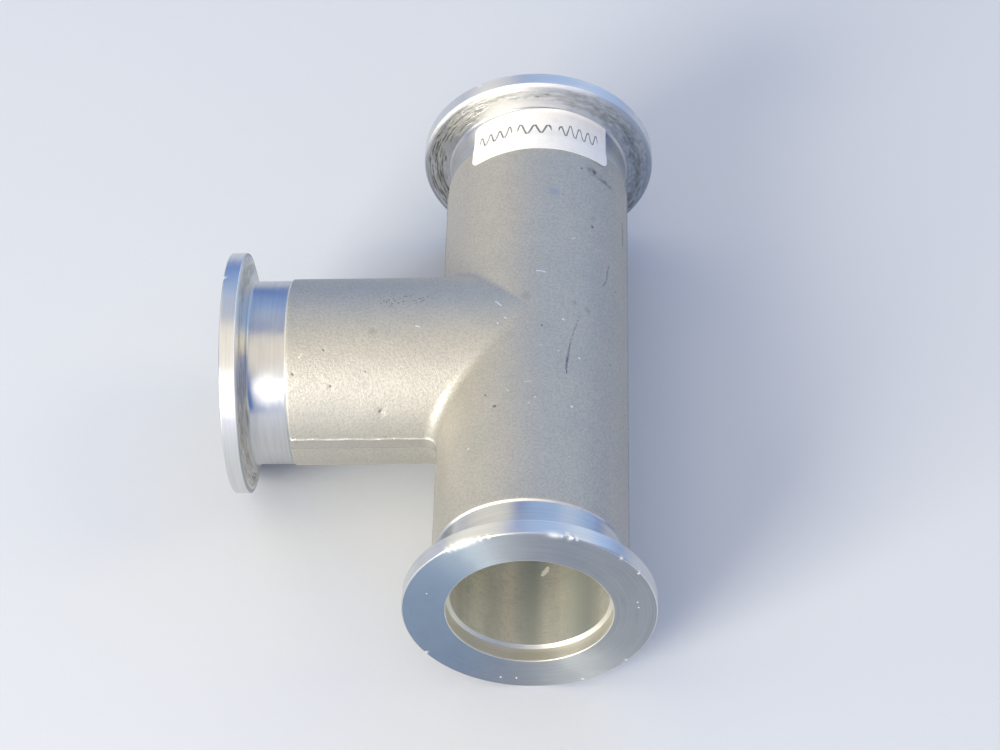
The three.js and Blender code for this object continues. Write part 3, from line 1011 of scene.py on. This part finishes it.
# Bright marks on the front face: distance from the axis, angle, size.
FRONT_MARKS = [face_mark(*mark) for mark in (
    (19.6, 29.5, 0.24), (17.0, 8.0, 0.20), (17.0, 3.3, 0.22),
    (18.1, -107.0, 0.22), (17.8, -99.0, 0.22), (16.5, 162.0, 0.16),
)]

BRIGHT = (0.62, 0.63, 0.64)
BURNISHED = (0.74, 0.75, 0.75)
WORN_RIM = (0.75, 0.76, 0.77)
SATIN = (0.41, 0.44, 0.47)
# A painted reflection of the blue surroundings, on one side of the front face.
BLUE_REFLECTION = (0.285, 0.375, 0.495)
STRAW = (0.82, 0.80, 0.71)
WARM_WHITE = (0.90, 0.89, 0.85)
# Below this height shade is painted on the turned ends of the casting, darker and bluer.
PAINTED_SHADE_BELOW = 11.0  # millimetres above the port axes
FACE_ANISOTROPY = 0.75
FACE_RING_DEPTH = 0.002


def build_cast_body():
    turned_end = turned_metal("turned_end", WARM_WHITE, 0.42, anisotropy=0.0,
                              painted_shade_below=PAINTED_SHADE_BELOW)
    body = build_body([cast_metal(), turned_end,
                       bored_metal("run_bore", (0, 1, 0), BORE_REFLECTIONS, BORE_FLECK),
                       bored_metal("branch_bore", axis=(1, 0, 0))])
    place_piece(body, "tee_body")


def build_flanges():
    front_face = turned_metal("front_face", SATIN, 0.42, FACE_ANISOTROPY, FACE_RING_DEPTH,
                              FRONT_MARKS, painted_reflection=((0, -1, 0), BLUE_REFLECTION))
    face = turned_metal("sealing_face", SATIN, 0.42, FACE_ANISOTROPY, FACE_RING_DEPTH)
    front_bore = bored_metal("front_bore", reflections=BORE_REFLECTIONS)
    rim = turned_metal("flange_rim", BURNISHED, 0.31)
    rear_rim = turned_metal("rear_rim", WORN_RIM, 0.36)
    neck = turned_metal("flange_neck", BRIGHT, 0.29)
    recess = turned_metal("flange_recess", STRAW, 0.42)
    bore = bored_metal("flange_bore")
    # Name, CAD body, outward direction, knocks, height of the galling, wear of the cone (which
    # also scales its painted side shade and one painted highlight band), worn radius of the rim's
    # back edge, and the looks of the face, the rim and the bore.
    flanges = (
        ("front_flange", "run_flange_front", (0, -1, 0), FRONT_KNOCKS, 0.006, 0.25, 0.10,
         front_face, rim, front_bore),
        ("rear_flange", "run_flange_rear", (0, 1, 0), REAR_KNOCKS, 0.030, 1.0, 0.38,
         face, rear_rim, bore),
        ("side_flange", "branch_flange", (-1, 0, 0), BRANCH_KNOCKS, 0.015, 0.60, 0.14,
         face, rim, bore),
    )
    for (name, node, outward, knocks, gall, wear_and_painted_light, soft,
         face_look, rim_look, bore_look) in flanges:
        cone = galled_cone(name + "_cone", wear_and_painted_light)
        slots = [face_look, rim_look, cone, neck, recess, bore_look]
        piece = build_flange(name, Vector(outward), knocks, gall, soft, slots)
        place_piece(piece, node)


# ---- floor, lights and camera ----

FLOOR_COLOUR = (0.62, 0.65, 0.70, 1)


def build_floor():
    """A plain pale floor, 3 metres square."""
    mesh = bpy.data.meshes.new("floor")
    half = 1.5
    mesh.from_pydata([(-half, -half, 0), (half, -half, 0), (half, half, 0), (-half, half, 0)],
                     [], [(0, 1, 2, 3)])
    floor = add_object("floor", mesh)
    floor.location = (CENTRE.x, CENTRE.y, 0)
    n = Nodes("floor")
    n.finish(FLOOR_COLOUR, 0.8, 0.0, n.bump(n.noise(n.place, 0.8), 0.02))
    mesh.materials.append(n.material)


def towards(azimuth, elevation):
    """A direction from the tee. Azimuth 0 is the front, 90 the side away from the branch."""
    a, e = math.radians(azimuth), math.radians(elevation)
    return Vector((math.sin(a) * math.cos(e), -math.cos(a) * math.cos(e), math.sin(e)))


# Name, azimuth, elevation, size in metres, power in watts, colour, shape. The world is
# blue, so turned metal looks blue where it mirrors none of these.
LIGHTS = [
    ("key_front_left", -40, 21, 0.5, 13.5, (1.0, 0.925, 0.74), "SQUARE"),
    ("high", -10, 71, 1.05, 3.1, (1.0, 0.80, 0.31), "DISK"),
    ("back_left", -115, 40, 1.2, 3.8, (1.0, 0.83, 0.30), "DISK"),
    ("back_sky", 148, 32, 1.45, 2.5, (0.74, 0.94, 0.95), "DISK"),
    ("back_right", 96, 45, 0.5, 1.6, (1.0, 0.78, 0.24), "DISK"),
    ("front_right", 50, 28, 0.45, 0.30, (1.0, 0.85, 0.45), "DISK"),
]
LIGHT_DISTANCE = 1.0
WORLD_COLOUR = (0.20, 0.385, 1.0, 1)
WORLD_STRENGTH = 0.62


def soft_light(name, azimuth, elevation, size, power, colour, shape):
    light = bpy.data.lights.new(name, "AREA")
    light.shape = shape
    light.size = size
    light.energy = power
    light.color = colour
    lamp = add_object(name, light)
    direction = towards(azimuth, elevation)
    lamp.location = CENTRE + direction * LIGHT_DISTANCE
    lamp.rotation_mode = "QUATERNION"
    lamp.rotation_quaternion = direction.to_track_quat("Z", "Y")


def build_lights():
    for light in LIGHTS:
        soft_light(*light)
    world = bpy.data.worlds.new("studio")
    world.use_nodes = True
    background = world.node_tree.nodes["Background"]
    background.inputs["Color"].default_value = WORLD_COLOUR
    background.inputs["Strength"].default_value = WORLD_STRENGTH
    scene.world = world
    scene.view_settings.view_transform = "Standard"


CAMERA_OFFSET = Vector((19.4, -333.8, 385.1))  # millimetres from CENTRE
CAMERA_AZIMUTH, CAMERA_ELEVATION, CAMERA_ROLL = 4.31, 49.10, -4.01
CAMERA_LENS = 110.5  # for a 36 mm wide sensor


def build_camera():
    camera_data = bpy.data.cameras.new("camera")
    camera_data.sensor_width = 36
    camera_data.lens = CAMERA_LENS
    camera_data.clip_start, camera_data.clip_end = 0.01, 10
    camera = add_object("camera", camera_data)
    back = towards(CAMERA_AZIMUTH, CAMERA_ELEVATION)
    level = Vector((0, 0, 1)).cross(back).normalized()
    upright = Matrix((level, back.cross(level), back)).transposed().to_4x4()
    roll = Matrix.Rotation(math.radians(CAMERA_ROLL), 4, "Z")
    camera.matrix_world = Matrix.Translation(CENTRE + CAMERA_OFFSET * MM) @ upright @ roll
    scene.camera = camera


build_cast_body()
build_flanges()
place_piece(build_label([label_paper()]), "label")
build_floor()
build_lights()
build_camera()
